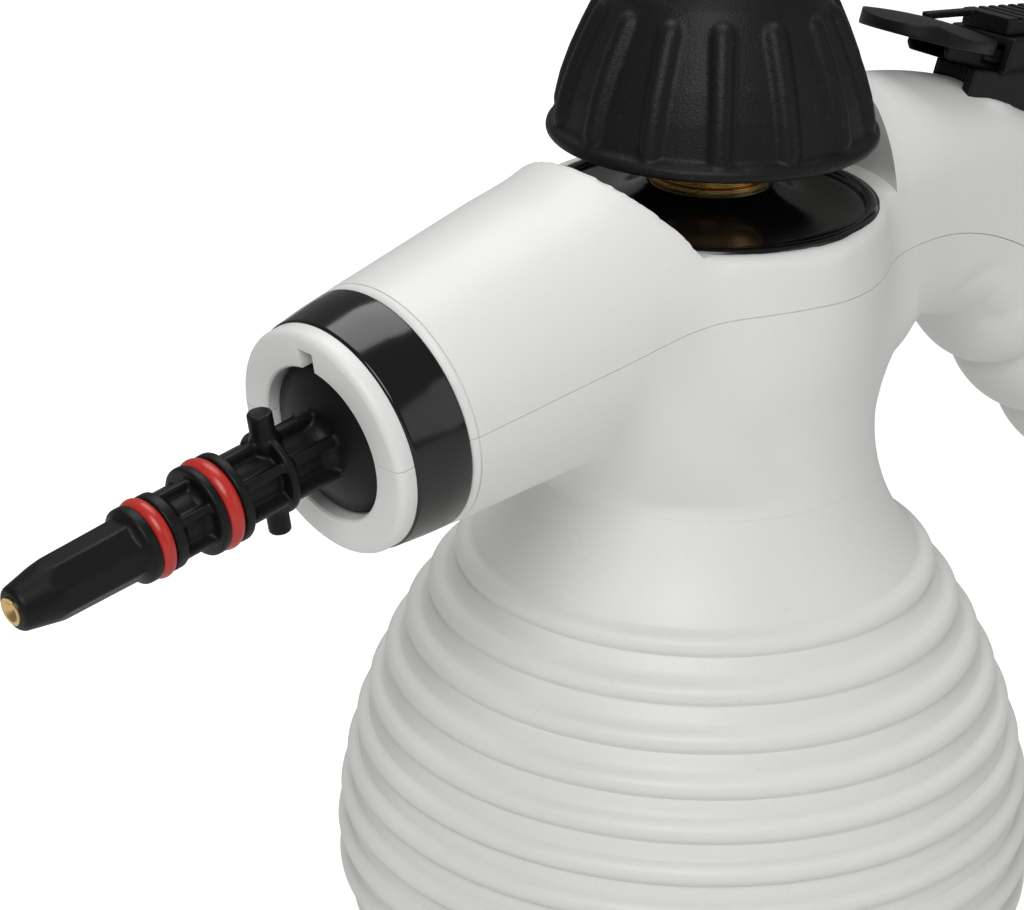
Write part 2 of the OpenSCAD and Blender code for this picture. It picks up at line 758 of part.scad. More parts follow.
module steam_tube() {
    top = flange_z - 3 + dome_r;
    low = bend_z + bend_r - grip_h + wall + 6;
    foot = valve_top - valve_len;
    color(BRASS) swept_tube([[outlet_x, 0, top - 4], [outlet_x, 0, low + 1],
        [bend_x + 13, 0, low + 1], on_trigger_at(valve_x, foot - 7),
        on_trigger_at(valve_x, foot)], tube_r);
}

module outlet_tube() {
    side = filler_r + 8.5;
    z = deck_z - deck_t - 2 * tube_r - 1;
    port = valve_top - valve_len / 2 - 2;
    color(RUBBER) swept_tube([on_trigger_at(valve_x - valve_r - 2, port),
        on_trigger_at(valve_x - valve_r - 9, port), [bend_x - 4, side * 0.5, z + 1],
        [filler_r, side, z], [-filler_r - 6, side, z - 3],
        on_nose_at(seat_s - 36), on_nose_at(seat_s - 20)], tube_r);
}

module valve_body() {
    color(BRASS) on_trigger() difference() {
        union() {
            translate([valve_x, 0, valve_top - valve_len]) cylinder(r = valve_r, h = valve_len);
            translate([valve_x, 0, valve_top - valve_len / 2 - 2]) rotate([0, -90, 0])
                cylinder(r = tube_r + 1.4, h = valve_r + 2);
        }
        translate([valve_x, 0, valve_top - 16]) cylinder(r = plunger_r + slip, h = 40);
        translate([valve_x, 0, valve_top - valve_len / 2 - 2]) rotate([0, -90, 0])
            cylinder(r = tube_r - 1, h = valve_r + 3);
    }
}

module valve_plunger() {
    color(STEEL) on_trigger() translate([valve_x, 0, 0]) {
        translate([0, 0, valve_top - 8]) cylinder(r = plunger_r, h = plunger_top - valve_top + 8);
        translate([0, 0, valve_top - 11]) cylinder(r = plunger_r - 1.3, h = 3);
    }
}

// round wire wound n times about z, closed flat at both ends by its own caps
module coil(r, wire, n, h) {
    sides = 6;
    steps = 16 * n;
    pts = [for (i = [0:steps]) for (k = [0:sides - 1])
        let (a = 360 * n * i / steps, b = 360 * k / sides)
        [(r + wire * cos(b)) * cos(a), (r + wire * cos(b)) * sin(a),
            wire + (h - 2 * wire) * i / steps + wire * sin(b)]];
    faces = concat(
        [[for (k = [0:sides - 1]) k]],
        [[for (k = [sides - 1:-1:0]) steps * sides + k]],
        [for (i = [0:steps - 1]) for (k = [0:sides - 1])
            [i * sides + k, (i + 1) * sides + k,
                (i + 1) * sides + (k + 1) % sides, i * sides + (k + 1) % sides]]);
    polyhedron(pts, faces, convexity = 10);
}

module valve_spring() {
    color(STEEL) on_trigger() translate([valve_x, 0, valve_top - 16])
        coil(1.9, 0.3, 4, 5);
}

// ---------- cap ----------
// outline of the cap over its ribs, h above the lip
module cap_line(off) {
    polygon([[0, 0], [cap_r - 0.9 - off, 0], [cap_r - 1.6 - off, 7.6],
        [cap_r - 3.2 - off, 12.8], [cap_r - 5.4 - off, 18],
        [cap_top_r - off, 24.6], [cap_top_r - 2.4 - off, 27.2], [0, 27.2]]);
}

module cap_shell() {
    boss_z = filler_z + 4;
    color(BLACK) translate([0, 0, cap_z]) difference() {
        union() {
            rotate_extrude($fn = 96) {
                cap_line(rib_rise);
                translate([cap_r - 1.4, 0]) circle(r = 1.4, $fn = 32);
                translate([0, -1.4]) square([cap_r - 1.4, 1.6]);
            }
            intersection() {
                rotate_extrude($fn = 96) intersection() {
                    cap_line(0);
                    square([far, 24.6]);
                }
                for (k = [0:rib_count - 1]) rotate([0, 0, 47 + k * 360 / rib_count])
                    translate([0, -rib_w / 2, 0]) cube([far, rib_w, far]);
            }
            intersection() {
                translate([0, 0, cap_h - 46]) sphere(r = 46, $fn = 96);
                translate([0, 0, 20]) cylinder(r = cap_top_r - rib_rise - 1.2, h = far);
            }
        }
        difference() {
            rotate_extrude($fn = 96) union() {
                intersection() {
                    cap_line(rib_rise + cap_wall);
                    translate([0, -2]) square([far, 24.6]);
                }
                translate([0, -5]) square([cap_r - rib_rise - cap_wall - 0.9, 5 + eps]);
            }
            translate([0, 0, boss_z - cap_z]) cylinder(r = boss_r, h = far);
        }
        translate([0, 0, boss_z - cap_z - 1]) cylinder(r = head_r, h = plug_top - boss_z + 1);
    }
}

module cap_plug() {
    color(BRASS) difference() {
        union() {
            translate([0, 0, filler_z - plug_len]) cylinder(r = plug_r, h = plug_len + 2);
            translate([0, 0, filler_z + 1.2]) cylinder(r = filler_flange_r, h = 2.8);
            translate([0, 0, filler_z + 3]) cylinder(r = head_r, h = plug_top - filler_z - 3);
        }
        translate([0, 0, relief_z]) cylinder(r = relief_r, h = far);
        translate([0, 0, 0]) cylinder(r = 1.4, h = far);
    }
}

module cap_gasket() {
    color(RED) translate([0, 0, filler_z]) tube(10.2, plug_r + slip, 1.2);
}

module relief_poppet() {
    color(STEEL) {
        translate([0, 0, relief_z]) cylinder(r = relief_r - slip, h = 3);
        translate([0, 0, relief_z]) cylinder(r = 1.4, h = 10);
    }
}

module relief_screw() {
    color(BRASS) translate([0, 0, plug_top - 5]) tube(relief_r, 1.7, 4);
}

module relief_spring() {
    color(STEEL) translate([0, 0, relief_z + 3])
        coil(3, 0.4, 5, plug_top - 5 - relief_z - 3);
}

// ---------- trigger ----------
// outline of the paddle: round in front, drawn in to the stem behind
module lever_plan() {
    tip = pivot_x - lever_len + lever_w;
    back = -0.5;
    n = 8;
    stem = slot_w - 2 * gap;
    side = [for (i = [0:n]) [tip + (back - tip) * i / n,
        lever_w - (lever_w - stem) * pow(i / n, 2)]];
    translate([tip, 0]) circle(r = lever_w, $fn = 96);
    polygon(concat(side, [for (i = [n:-1:0]) [side[i][0], -side[i][1]]]));
}

module trigger_lever() {
    crown = 9.5;
    dome = 31.7;
    droop = 62;
    w = slot_w - gap;
    tip = pivot_x - lever_len + lever_w;
    skirt_x = tip + 3.3;
    color(BLACK) on_trigger() difference() {
        union() {
            intersection() {
                translate([tip, 0, 5.2]) rotate([0, -2.4, 0]) translate([-tip, 0, 0])
                    linear_extrude(height = 10) lever_plan();
                translate([0, 0, crown - dome]) rotate([0, 90, 0])
                    cylinder(r = dome, h = 120, center = true, $fn = 192);
                translate([-12, 0, crown - droop]) rotate([90, 0, 0])
                    cylinder(r = droop, h = 60, center = true, $fn = 192);
            }
            for (k = [-1, 1]) translate([0, k * 4.6, 0]) side_plate(1)
                polygon([[skirt_x, 4], [skirt_x + 1.2, 2.8], [-1, 2.7], [pivot_x - 2, 3],
                    [pivot_x - 2, 6], [skirt_x, 6]]);
            translate([-4, -w, pivot_z]) cube([pivot_x + 4, 2 * w, 2.7]);
            translate([pivot_x, 0, pivot_z]) rotate([90, 0, 0])
                cylinder(r = 3.4, h = 2 * w, center = true);
            translate([valve_x, 0, pivot_z + 1.2]) sphere(r = 2.5, $fn = 48);
        }
        translate([pivot_x, 0, pivot_z]) rotate([90, 0, 0])
            cylinder(r = pin_r + run, h = 40, center = true);
    }
}

module mount_tray() {
    side_plate(2 * slot_w + 4.8) polygon([[tray_x, -12], [tray_x, 1.7],
        [26, 1.7 + (26 - tray_x) * tan(rim_a)], [mount_len * 0.83, 6], [mount_len - 1, -12]]);
}

module mount_top() {
    side_plate(2 * slot_w + 3.8) polygon([[0.8, -6], [0.8, 5.4], [1, deck_h],
        [27, deck_h + 26 * tan(deck_a)], [mount_len * 0.8, 12], [mount_len * 0.9, 5],
        [mount_len, -8]]);
}

module trigger_mount() {
    color(BLACK) difference() {
        on_trigger() {
            difference() {
                union() {
                    mount_tray();
                    mount_top();
                }
                side_plate(2 * slot_w) polygon([[tray_x - 1, -14], [15, -14], [15, 11],
                    [1, deck_h - 1.8], [1, 30], [tray_x - 1, 30]]);
                translate([4.8, 0, deck_h + 3.8 * tan(deck_a) - 2.4]) rotate([0, -deck_a, 0])
                    translate([0, -slip - tongue_w / 2, 0])
                        cube([tongue_len + 1.8 + lock_travel, tongue_w + 2 * slip, 20]);
                translate([pivot_x, 0, pivot_z]) rotate([90, 0, 0])
                    cylinder(r = pin_r, h = 60, center = true);
            }
            translate([tray_x - 0.4, -slot_w - 2.4, -10]) cube([2, 2 * slot_w + 4.8, 10.3]);
            translate([tray_x - 0.4, -3.5, -6]) cube([2, 7, 8.9]);
        }
        handle_bend(0);
        on_handle(bend_a, bend_r) translate([-1, 0, 0]) rotate([0, 90, 0])
            linear_extrude(height = grip_len) grip_section(grip_w, grip_h);
    }
}

module trigger_pin() {
    color(STEEL) on_trigger() translate([pivot_x, 0, pivot_z]) rotate([90, 0, 0])
        cylinder(r = pin_r, h = 2 * (slot_w + 1.9), center = true);
}

module lock_slider() {
    color(BLACK) on_trigger() translate([1, 0, deck_h + slip]) rotate([0, -deck_a, 0]) {
        difference() {
            translate([0, -pad_w, 0]) cube([pad_len, 2 * pad_w, pad_h]);
            for (k = [0:4]) translate([3 + 3 * k, -pad_w - 1, pad_h - 0.9])
                cube([1.3, 2 * pad_w + 2, 2]);
        }
        translate([tongue_x, -tongue_w / 2, -2.2]) cube([tongue_len, tongue_w, 2.3]);
        translate([-finger_len, pad_w - finger_w, pad_h - 1.4])
            cube([finger_len + 0.5, finger_w, 1.2]);
    }
}

module cord_gland() {
    inner = grip_len + end_len / 2;
    color(RUBBER) on_handle(bend_a, bend_r) rotate([0, 90, 0]) difference() {
        union() {
            translate([0, 0, inner - 2]) cylinder(r = inlet_r + 5, h = 2);
            translate([0, 0, inner - 1]) cylinder(r = inlet_r + 3, h = end_len / 2 + 2);
            translate([0, 0, grip_len + end_len]) cylinder(r1 = inlet_r + 4.2,
                r2 = inlet_r + 3, h = 3);
        }
        translate([0, 0, inner - 3]) cylinder(r = inlet_r, h = 20);
    }
}

tank_cover();
base_plate();
rubber_sole();
lower_shell();
upper_shell();
nose_band();
nozzle();
seal_large();
seal_small();
brass_tip();
dish();
filler_neck();
boiler_pot();
boiler_lid();
heater();
thermostat();
steam_tube();
outlet_tube();
valve_body();
valve_plunger();
valve_spring();
cap_gasket();
cap_shell();
cap_plug();
relief_poppet();
relief_spring();
relief_screw();
trigger_mount();
trigger_lever();
trigger_pin();
lock_slider();
cord_gland();
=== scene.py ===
import bpy
from math import radians, sin, cos, tan, sqrt, hypot, atan2, pi
from mathutils import Matrix, Vector


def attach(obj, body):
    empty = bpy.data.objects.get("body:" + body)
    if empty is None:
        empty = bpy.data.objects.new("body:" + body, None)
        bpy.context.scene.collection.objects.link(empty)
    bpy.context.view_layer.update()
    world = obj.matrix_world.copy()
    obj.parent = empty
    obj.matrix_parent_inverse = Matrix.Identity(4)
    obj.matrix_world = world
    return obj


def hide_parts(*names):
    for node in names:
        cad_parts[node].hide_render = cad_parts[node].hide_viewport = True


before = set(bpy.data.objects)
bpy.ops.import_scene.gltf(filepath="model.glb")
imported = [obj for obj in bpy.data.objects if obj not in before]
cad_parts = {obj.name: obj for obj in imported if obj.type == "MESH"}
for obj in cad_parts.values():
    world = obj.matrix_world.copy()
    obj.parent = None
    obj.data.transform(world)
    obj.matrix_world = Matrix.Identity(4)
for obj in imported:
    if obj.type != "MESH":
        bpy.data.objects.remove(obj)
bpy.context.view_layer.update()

# ---------- Camera ----------
# A long lens in front of the nozzle's left side, a little above the cap, rolled by one degree.
azimuth, elevation, roll = radians(-42.53), radians(22.96), radians(1.14)
aim, distance = Vector((-0.04695, 0, 0.11984)), 0.5605
back = Vector((sin(azimuth) * cos(elevation), -cos(azimuth) * cos(elevation), sin(elevation)))
right = Vector((cos(azimuth), sin(azimuth), 0))
up = back.cross(right)
side = cos(roll) * right + sin(roll) * up
top = -sin(roll) * right + cos(roll) * up
camera = bpy.data.objects.new("camera", bpy.data.cameras.new("camera"))
bpy.context.scene.collection.objects.link(camera)
camera.matrix_world = Matrix(((side.x, top.x, back.x, 0), (side.y, top.y, back.y, 0),
                              (side.z, top.z, back.z, 0), (0, 0, 0, 1)))
camera.location = aim + back * distance
camera.data.lens, camera.data.sensor_width = 112.3, 36
camera.data.clip_start, camera.data.clip_end = 0.01, 60
bpy.context.scene.camera = camera

# ---------- Floor and light ----------
# A pale floor that catches a soft shadow, two large soft lamps and a low fill. The room and the
# floor look white to the camera, and the room lights the object only softly.
room_light, floor_glow, lamp_aim = 0.22, 0.6, Vector((0, 0, 0.1))
room = bpy.data.worlds.new("room")
bpy.context.scene.world = room
room.use_nodes = True
nodes, link = room.node_tree.nodes, room.node_tree.links.new
light_path, seen = nodes.new("ShaderNodeLightPath"), nodes.new("ShaderNodeMath")
seen.operation = "MAXIMUM"
level = nodes.new("ShaderNodeMapRange")
level.inputs["To Min"].default_value, level.inputs["To Max"].default_value = room_light, 1.0
link(light_path.outputs["Is Camera Ray"], seen.inputs[0])
link(light_path.outputs["Is Transmission Ray"], seen.inputs[1])
link(seen.outputs["Value"], level.inputs["Value"])
link(level.outputs["Result"], nodes["Background"].inputs["Strength"])
nodes["Background"].inputs["Color"].default_value = (1, 1, 1, 1)
for name, place, size, power in (("key_lamp", (-0.75, -0.55, 0.95), 0.8, 8.4),
                                 ("top_lamp", (0.25, 0.35, 1.2), 0.9, 6.2),
                                 ("side_lamp", (0.5, -1.1, 0.5), 0.9, 1.6)):
    lamp = bpy.data.objects.new(name, bpy.data.lights.new(name, "AREA"))
    bpy.context.scene.collection.objects.link(lamp)
    lamp.location = place
    lamp.rotation_euler = (lamp_aim - Vector(place)).to_track_quat("-Z", "Y").to_euler()
    lamp.data.shape, lamp.data.size, lamp.data.energy = "DISK", size, power
bpy.ops.object.select_all(action="DESELECT")
bpy.ops.mesh.primitive_plane_add(size=14, location=(0, 0, 0))
floor = bpy.context.object
floor.name = "floor"
paint = bpy.data.materials.new("floor_paint")
paint.use_nodes = True
nodes, link = paint.node_tree.nodes, paint.node_tree.links.new
shader = nodes["Principled BSDF"]
shader.inputs["Base Color"].default_value = (0.8, 0.8, 0.8, 1)
shader.inputs["Roughness"].default_value = 0.9
shader.inputs["Emission Color"].default_value = (1, 1, 1, 1)
light_path, glow = nodes.new("ShaderNodeLightPath"), nodes.new("ShaderNodeMath")
glow.operation = "MULTIPLY"
glow.inputs[1].default_value = floor_glow
link(light_path.outputs["Is Camera Ray"], glow.inputs[0])
link(glow.outputs["Value"], shader.inputs["Emission Strength"])
floor.data.materials.append(paint)
bpy.context.scene.view_settings.view_transform = "Standard"

# ---------- Tank cover ----------
# The bell of the tank is one white moulding with twelve round beads, each a soft half round on a
# straight band, and a smooth waisted neck above. It stands over the boiler on the base plate.

# Moulded grain is the fine spark or leather texture that a mould leaves on plastic and rubber,
# with a slow mottle of tone and specks of dust. One group serves every moulded piece.
grain = bpy.data.node_groups.new("moulded_grain", "ShaderNodeTree")
for name, way, value in (("Cells", "INPUT", 1500.0), ("Leather", "INPUT", 0.0),
                         ("Height", "OUTPUT", 0.0), ("Mottle", "OUTPUT", 0.0), ("Dust", "OUTPUT", 0.0)):
    socket = grain.interface.new_socket(name=name, in_out=way, socket_type="NodeSocketFloat")
    if way == "INPUT":
        socket.default_value = value
inlet, outlet = grain.nodes.new("NodeGroupInput"), grain.nodes.new("NodeGroupOutput")
place = grain.nodes.new("ShaderNodeTexCoord")
spark = grain.nodes.new("ShaderNodeTexNoise")
spark.inputs["Detail"].default_value = 3
hide = grain.nodes.new("ShaderNodeTexVoronoi")
hide.feature = "SMOOTH_F1"
mottle = grain.nodes.new("ShaderNodeTexNoise")
mottle.inputs["Scale"].default_value, mottle.inputs["Detail"].default_value = 28, 4
dust = grain.nodes.new("ShaderNodeTexNoise")
dust.inputs["Scale"].default_value, dust.inputs["Detail"].default_value = 700, 6
speck = grain.nodes.new("ShaderNodeMapRange")
speck.inputs["From Min"].default_value, speck.inputs["From Max"].default_value = 0.62, 0.74
mix = grain.nodes.new("ShaderNodeMix")
link = grain.links.new
for texture in (spark, hide, mottle, dust):
    link(place.outputs["Object"], texture.inputs["Vector"])
link(inlet.outputs["Cells"], spark.inputs["Scale"])
link(inlet.outputs["Cells"], hide.inputs["Scale"])
link(inlet.outputs["Leather"], mix.inputs["Factor"])
link(spark.outputs["Fac"], mix.inputs["A"])
link(hide.outputs["Distance"], mix.inputs["B"])
link(dust.outputs["Fac"], speck.inputs["Value"])
link(mix.outputs["Result"], outlet.inputs["Height"])
link(mottle.outputs["Fac"], outlet.inputs["Mottle"])
link(speck.outputs["Result"], outlet.inputs["Dust"])


def moulded(name, light, dark, gloss, rough, cells, depth, leather=0.0, dusty=None, shine=0.5):
    """A moulded plastic or rubber: two tones, two roughnesses, grain of a size and depth."""
    material = bpy.data.materials.new(name)
    material.use_nodes = True
    nodes, link = material.node_tree.nodes, material.node_tree.links.new
    shader = nodes["Principled BSDF"]
    skin = nodes.new("ShaderNodeGroup")
    skin.node_tree = grain
    skin.inputs["Cells"].default_value, skin.inputs["Leather"].default_value = cells, leather
    tone, sheen = nodes.new("ShaderNodeMix"), nodes.new("ShaderNodeMapRange")
    tone.data_type = "RGBA"
    tone.inputs["A"].default_value, tone.inputs["B"].default_value = (*light, 1), (*dark, 1)
    spread = nodes.new("ShaderNodeMapRange")
    spread.inputs["From Min"].default_value, spread.inputs["From Max"].default_value = 0.35, 0.7
    link(skin.outputs["Mottle"], spread.inputs["Value"])
    link(spread.outputs["Result"], tone.inputs["Factor"])
    colour = tone.outputs["Result"]
    if dusty:
        motes = nodes.new("ShaderNodeMix")
        motes.data_type = "RGBA"
        motes.inputs["B"].default_value = (*dusty, 1)
        link(skin.outputs["Dust"], motes.inputs["Factor"])
        link(colour, motes.inputs["A"])
        colour = motes.outputs["Result"]
    link(colour, shader.inputs["Base Color"])
    sheen.inputs["To Min"].default_value, sheen.inputs["To Max"].default_value = gloss, rough
    link(skin.outputs["Mottle"], sheen.inputs["Value"])
    link(sheen.outputs["Result"], shader.inputs["Roughness"])
    relief = nodes.new("ShaderNodeBump")
    relief.inputs["Strength"].default_value, relief.inputs["Distance"].default_value = 0.6, depth
    link(skin.outputs["Height"], relief.inputs["Height"])
    link(relief.outputs["Normal"], shader.inputs["Normal"])
    shader.inputs["Specular IOR Level"].default_value = shine
    return material


tank_plastic = moulded("tank_plastic", (0.80, 0.795, 0.775), (0.78, 0.775, 0.75), gloss=0.38, rough=0.5,
                       cells=2600, depth=0.00003, dusty=(0.76, 0.75, 0.73))
MM = 0.001


def let_go():
    """Leaves edit mode and selects nothing."""
    if bpy.context.object and bpy.context.object.mode != "OBJECT":
        bpy.ops.object.mode_set(mode="OBJECT")
    bpy.ops.object.select_all(action="DESELECT")


def alone(piece):
    """Makes one piece active and the only one selected."""
    let_go()
    piece.select_set(True)
    bpy.context.view_layer.objects.active = piece


def extrude(step):
    """Extrudes what is selected by a step in metres."""
    bpy.ops.mesh.extrude_region_move(TRANSFORM_OT_translate={"value": step})


def face_out():
    """Turns all faces of the piece in edit mode outwards and leaves edit mode."""
    bpy.ops.mesh.select_all(action="SELECT")
    bpy.ops.mesh.normals_make_consistent(inside=False)
    bpy.ops.object.mode_set(mode="OBJECT")


def line_of(name, points):
    """A line through points in millimetres, drawn vertex by vertex, left in edit mode."""
    let_go()
    bpy.ops.mesh.primitive_plane_add(size=MM, location=(0, 0, 0))
    bpy.context.object.name = name
    bpy.ops.object.mode_set(mode="EDIT")
    bpy.ops.mesh.merge(type="CENTER")
    bpy.ops.transform.translate(value=Vector(points[0]) * MM)
    for here, there in zip(points, points[1:]):
        extrude((Vector(there) - Vector(here)) * MM)
    bpy.ops.mesh.select_all(action="SELECT")
    return bpy.context.object


def spun(name, outline, steps=128):
    """A closed solid spun round Z from an outline of radius and height."""
    piece = line_of(name, [(r, 0, z) for r, z in outline + outline[:1]])
    bpy.ops.mesh.spin(steps=steps, angle=2 * pi, center=(0, 0, 0), axis=(0, 0, 1))
    bpy.ops.mesh.select_all(action="SELECT")
    bpy.ops.mesh.remove_doubles(threshold=1e-6)
    face_out()
    return piece


def put(piece, place):
    """Puts a piece where it belongs and leaves its object at the origin."""
    alone(piece)
    piece.matrix_world = place @ piece.matrix_world
    bpy.ops.object.transform_apply(location=True, rotation=True, scale=True)
    return piece


def done(piece, finish, body, replaced=(), angle=35):
    """Dresses a finished piece and hangs it on its body."""
    alone(piece)
    bpy.ops.object.shade_smooth_by_angle(angle=radians(angle))
    piece.data.materials.clear()
    piece.data.materials.append(finish)
    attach(piece, body)
    if replaced:
        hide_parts(*replaced)


foot_z, belly_z, belly_r, foot_draw, top_draw = 6.0, 29.0, 67.1, 12.1, 22.0
bead_count, bead_top, bead_pitch, bead_r, bead_rise, bead_fillet = 12, 88.8, 7.09, 2.1, 1.7, 0.3
neck_foot, neck_r, waist_z, waist_arc, crease_z = bead_top + 3, 32.2, 117.5, 40.0, 108.4
cover_wall, crease_wall = 2.5, 2.6


def ramp(value, start=0.0, length=1.0):
    """Runs from 0 to 1 as a value passes from its start over a length."""
    return max(0.0, min(1.0, (value - start) / length))


def bell(z):
    """Radius over the beads at a height."""
    if z > belly_z:
        return belly_r - top_draw * ((z - belly_z) / (bead_top - belly_z)) ** 2
    return belly_r - foot_draw * ((belly_z - z) / (belly_z - foot_z)) ** 2


def neck(z, off=0.0):
    """Radius of the waisted neck at a height."""
    return neck_r + waist_arc - sqrt((waist_arc + off) ** 2 - (z - waist_z) ** 2)


beads = [bead_top - i * bead_pitch for i in range(bead_count)]
stops = [foot_z] + sorted(beads) + [neck_foot]
bands = [bell(z) - bead_rise for z in stops[:-1]] + [neck(neck_foot)]


def cover_radius(z):
    """Radius of the cover, whose bands and beads run into each other over a small fillet."""
    i = max(k for k in range(len(stops) - 1) if stops[k] <= z + 1e-9)
    share = (z - stops[i]) / (stops[i + 1] - stops[i])
    band = bands[i] + (bands[i + 1] - bands[i]) * share
    near = min(beads, key=lambda b: abs(b - z))
    reach = bead_r ** 2 - (z - near) ** 2
    bead = bell(near) - bead_r + (sqrt(reach) if reach > 0 else -3 * abs(abs(z - near) - bead_r))
    blend = ramp(0.5 + 0.5 * (bead - band) / bead_fillet)
    return band * (1 - blend) + bead * blend + bead_fillet * blend * (1 - blend)


heights = [foot_z]
for bead in sorted(beads):
    for step in (-2.6, -2.2, -2.0, -1.8, -1.5, -1.1, -0.6, 0, 0.6, 1.1, 1.5, 1.8, 2.0, 2.2, 2.6, 3.5):
        if heights[-1] + 0.15 < bead + step < bead_top + 2.9:
            heights.append(bead + step)
outer = [(cover_radius(z), z) for z in heights]
outer += [(neck(z), z) for z in [neck_foot + (crease_z - 0.5 - neck_foot) * k / 14 for k in range(15)]]
outer += [(neck(crease_z), crease_z)]
inner = [(neck(crease_z) - crease_wall, crease_z), (neck(98, cover_wall), 98), (neck(92, cover_wall), 92)]
inner += [(bell(z) - bead_rise - cover_wall, z) for z in (84, 74, 64, 54, 44, 34, 24, 14, 6.4)]
cover = spun("tank_bell", [(52.2, 6.2), (52.8, foot_z)] + outer[1:] + inner + [(51.0, 6.2)], steps=160)
done(cover, tank_plastic, "housing", ["tank_cover"])

# ---------- Base plate and rubber sole ----------
# The cover closes on a black base plate, and the tank stands on a ribbed rubber sole let into it.


def dress(finish, *names):
    """Gives the CAD's own nodes a finish."""
    for name in names:
        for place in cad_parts[name].material_slots:
            place.material = finish


satin_black = moulded("satin_black", (0.0055, 0.0055, 0.0057), (0.004, 0.004, 0.004), gloss=0.36, rough=0.5,
                      cells=3000, depth=0.00006, dusty=(0.009, 0.009, 0.0086), shine=0.2)
rubber_black = moulded("rubber_black", (0.022, 0.022, 0.023), (0.030, 0.030, 0.030), gloss=0.6, rough=0.78,
                       cells=2200, depth=0.00008, dusty=(0.07, 0.07, 0.068))
dress(satin_black, "base_plate")
dress(rubber_black, "rubber_sole")

# ---------- Body shells ----------
# Nose, body and handle are two white mouldings that meet on a seam round the whole gun. Nose and
# handle grow out of the round body over soft fillets. The handle is wider at its root, the body is
# drawn in a little beside it, and the mould rounds every edge.
white_plastic = moulded("white_plastic", (0.80, 0.797, 0.78), (0.785, 0.78, 0.762), gloss=0.36, rough=0.46,
                        cells=3200, depth=0.00002, dusty=(0.775, 0.77, 0.75))
nose_tilt, nose_z, band_s, lip_s = radians(10.64), 150.25, 77.2, 88.2
nose_r, nose_taper, nose_blend = 22.15, radians(4.65), 11.0
body_r, neck_top, draw_in, draw_rise = 35.3, 132.9, 1.9, (122, 8)
bend_x, bend_z, seam_r = 31.0, 61.0, 85.5
grip_half, grip_flat, grip_r, grip_bend, grip_blend = 16.5, 8.5, 87.5, radians(42), 5.0
root_fillet, root_bury, root_straight, root_steps, root_turn = 150.0, 1.2, 13, 38, radians(-0.9)
under_fillet, under_reach, under_lift = 14, 46.4, 4.0
lobe_creases, lobe_depth, lobe_shift, lobe_r = (-18.7, 3.3, 25.3), 0.8, 1.7, 65


def apply(piece, kind, **values):
    """Adds a modifier, sets it and applies it."""
    alone(piece)
    modifier = piece.modifiers.new(kind.lower(), kind)
    for key, value in values.items():
        setattr(modifier, key, value)
    bpy.ops.object.modifier_apply(modifier=modifier.name)


def recast(piece, voxel, rounds):
    """Fuses all that a piece holds into one skin and softens its edges."""
    apply(piece, "REMESH", mode="VOXEL", voxel_size=voxel * MM)
    apply(piece, "SMOOTH", factor=0.5, iterations=rounds)


def copy_of(name, *sources):
    """One piece from the merged copies of CAD nodes."""
    let_go()
    for source in sources:
        copy = bpy.data.objects.new(name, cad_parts[source].data.copy())
        bpy.context.scene.collection.objects.link(copy)
        copy.select_set(True)
        bpy.context.view_layer.objects.active = copy
    if len(sources) > 1:
        bpy.ops.object.join()
    bpy.ops.object.mode_set(mode="EDIT")
    bpy.ops.mesh.select_all(action="SELECT")
    bpy.ops.mesh.remove_doubles(threshold=1e-6)
    bpy.ops.object.mode_set(mode="OBJECT")
    return bpy.context.object


def join(*pieces):
    """Joins pieces into the first."""
    let_go()
    for piece in pieces:
        piece.select_set(True)
    bpy.context.view_layer.objects.active = pieces[0]
    bpy.ops.object.join()
    return pieces[0]


def cut(piece, cutter, operation="DIFFERENCE"):
    """Cuts a piece by another, which is then thrown away."""
    apply(piece, "BOOLEAN", operation=operation, solver="MANIFOLD", object=cutter)
    bpy.data.objects.remove(cutter)


def block(place, size):
    """A box from its middle and its lengths in millimetres."""
    let_go()
    bpy.ops.mesh.primitive_cube_add(size=1, location=[v * MM for v in place], scale=[v * MM for v in size])
    bpy.ops.object.transform_apply(location=True, rotation=True, scale=True)
    return bpy.context.object


def slab(name, outline, width, offset=0.0):
    """A flat outline in X and Z given a width to both sides of the middle plane."""
    piece = line_of(name, [(x, offset - width / 2, z) for x, z in outline])
    bpy.ops.mesh.edge_face_add()
    extrude((0, width * MM, 0))
    face_out()
    return piece


def ring(r0, z0, r1, z1):
    """The outline of a ring with a square section."""
    return [(r0, z0), (r1, z0), (r1, z1), (r0, z1)]


def body_radius(z):
    """Radius of the neck and of the straight body above it."""
    return neck(z) if z < neck_top else body_r


def root_wall(z):
    """The body's radius beside the handle, where it is drawn in a little."""
    return body_radius(max(z, 112)) - draw_in * ramp(z, *draw_rise)


def along_grip(x, z):
    """How far the handle has turned at a point, and the point's height over the handle's axis."""
    if x > bend_x:
        return atan2(x - bend_x, z - bend_z), hypot(x - bend_x, z - bend_z) - grip_r
    return 0, z - bend_z - grip_r


def flare_half(x, wall, off):
    """Half the handle's width, which runs out to a round wall on a wide fillet."""
    bend = root_fillet + off
    half, wall = grip_half - off, wall - off
    centre = sqrt((wall + bend) ** 2 - (half + bend) ** 2)
    touch = centre * wall / (wall + bend)
    if x > centre:
        return half
    if x < touch:
        return sqrt(max(wall ** 2 - x * x, half ** 2)) - root_bury
    return half + bend - sqrt(bend ** 2 - (centre - x) ** 2)


